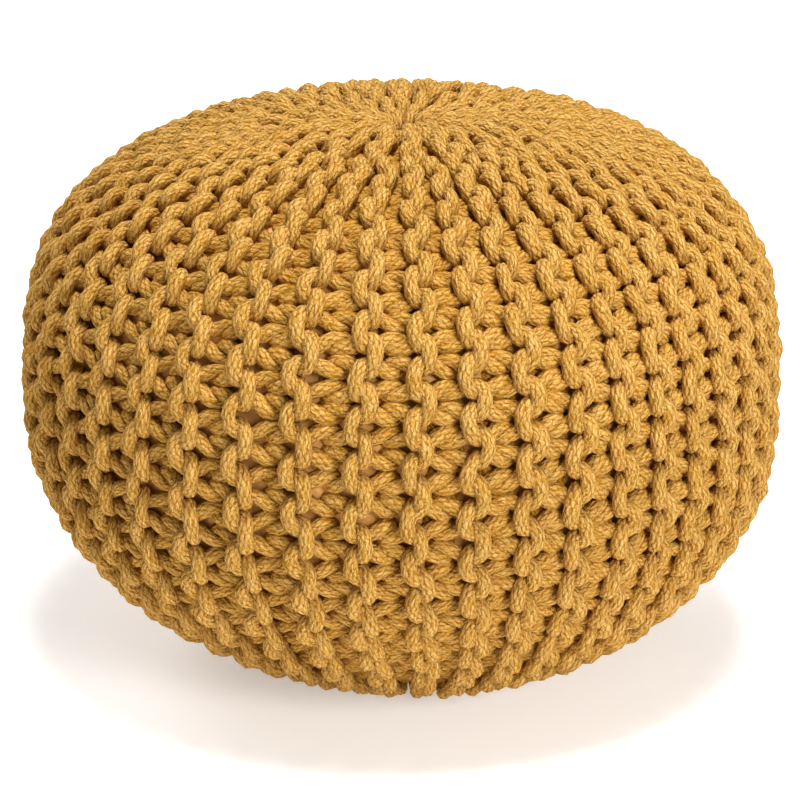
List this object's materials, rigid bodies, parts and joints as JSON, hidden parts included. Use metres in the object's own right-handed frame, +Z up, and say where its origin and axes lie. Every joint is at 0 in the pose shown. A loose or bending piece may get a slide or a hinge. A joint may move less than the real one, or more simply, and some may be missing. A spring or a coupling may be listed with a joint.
{
  "type": "knitted pouf",
  "caption": "Round filled floor pouf with a chunky knitted cover, its ribs gathered at the crown and the base, flat underneath to stand on a floor.",
  "frame": {"origin": "centre of the flat base, on the surface that the pouf stands on", "axes": "+Z up through the gathered crown; the pouf is round about it, and the side that the picture shows faces -Y"},
  "size_m": [0.5, 0.5, 0.3648],
  "materials": {
    "cotton_cord": "matte mustard-yellow cotton cord, softly braided and about 9 mm thick, knitted in garter stitch with the rows running from pole to pole",
    "casing_cloth": "matte pinkish-tan woven casing that holds the filling and shows only through gaps between the stitches"
  },
  "bodies": {
    "root": {"knitted_cover": "cotton_cord"}
  },
  "joints": []
}
